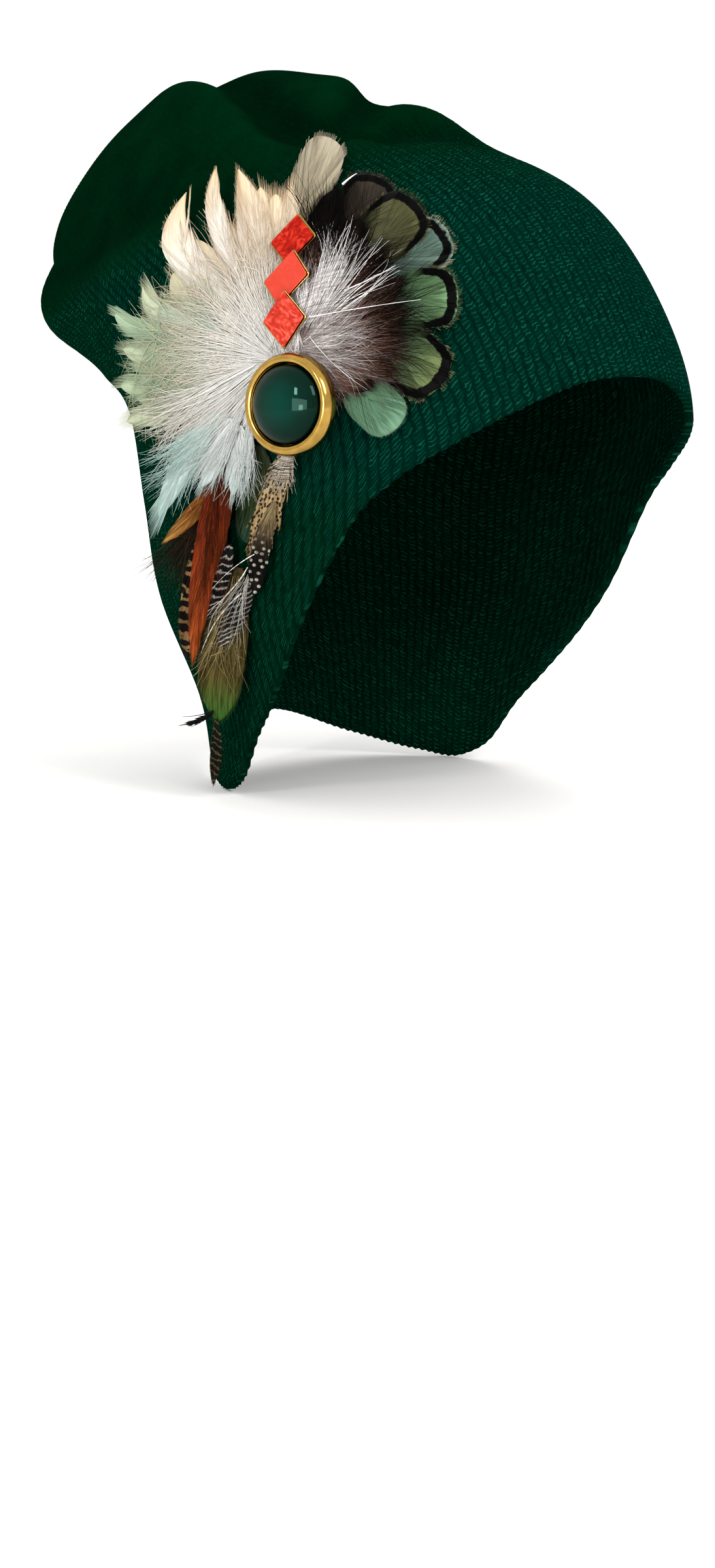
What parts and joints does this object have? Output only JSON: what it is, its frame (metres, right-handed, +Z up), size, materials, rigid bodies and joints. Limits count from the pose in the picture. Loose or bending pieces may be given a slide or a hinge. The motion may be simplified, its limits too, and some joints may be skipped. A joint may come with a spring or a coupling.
{
  "type": "slouchy beanie",
  "caption": "Fine-ribbed slouchy knit beanie worn low over the ears, with a side cockade of feathers, lozenges and a domed brooch.",
  "frame": {"origin": "middle of the head opening at brow level", "axes": "+Z up, the face looks along -Y, the wearer's left is +X; the cockade sits on the -X side"},
  "size_m": [0.1886, 0.244, 0.238],
  "materials": {
    "knit_green": "matte fine-ribbed knit",
    "cream_feather": "soft matte feather",
    "brown_fur": "fluffy matte feather",
    "almond_feather": "satin feather",
    "bronze_feather": "satin feather",
    "speckled_feather": "matte feather",
    "guinea_feather": "satin feather",
    "rust_hackle": "silky feather",
    "golden_hackle": "silky feather",
    "barred_feather": "satin feather",
    "olive_feather": "satin feather",
    "black_feather": "satin feather",
    "gold": "polished gold plate",
    "coral": "polished marbled coral",
    "green_stone": "glossy deep green cabochon"
  },
  "bodies": {
    "root": {"almond_feather_1": "almond_feather", "almond_feather_2": "almond_feather", "almond_feather_3": "almond_feather", "almond_feather_4": "almond_feather", "almond_feather_5": "almond_feather", "almond_feather_6": "almond_feather", "barred_feather": "barred_feather", "black_wisp": "black_feather", "bronze_feather": "bronze_feather", "brooch_bezel": "gold", "brooch_stone": "green_stone", "brown_plume": "brown_fur", "cream_top_feather": "cream_feather", "golden_hackle": "golden_hackle", "guinea_bar_feather": "guinea_feather", "guinea_dot_feather": "guinea_feather", "hem_feather": "barred_feather", "knit_shell": "knit_green", "lozenge_plate_lower": "gold", "lozenge_plate_middle": "gold", "lozenge_plate_upper": "gold", "lozenge_tile_lower": "coral", "lozenge_tile_middle": "coral", "lozenge_tile_upper": "coral", "olive_feather": "olive_feather", "rust_hackle": "rust_hackle", "speckled_feather": "speckled_feather", "white_barred_feather": "guinea_feather", "white_lower_feather_1": "cream_feather", "white_lower_feather_2": "cream_feather", "white_lower_feather_3": "cream_feather", "white_plume": "cream_feather"}
  },
  "joints": []
}
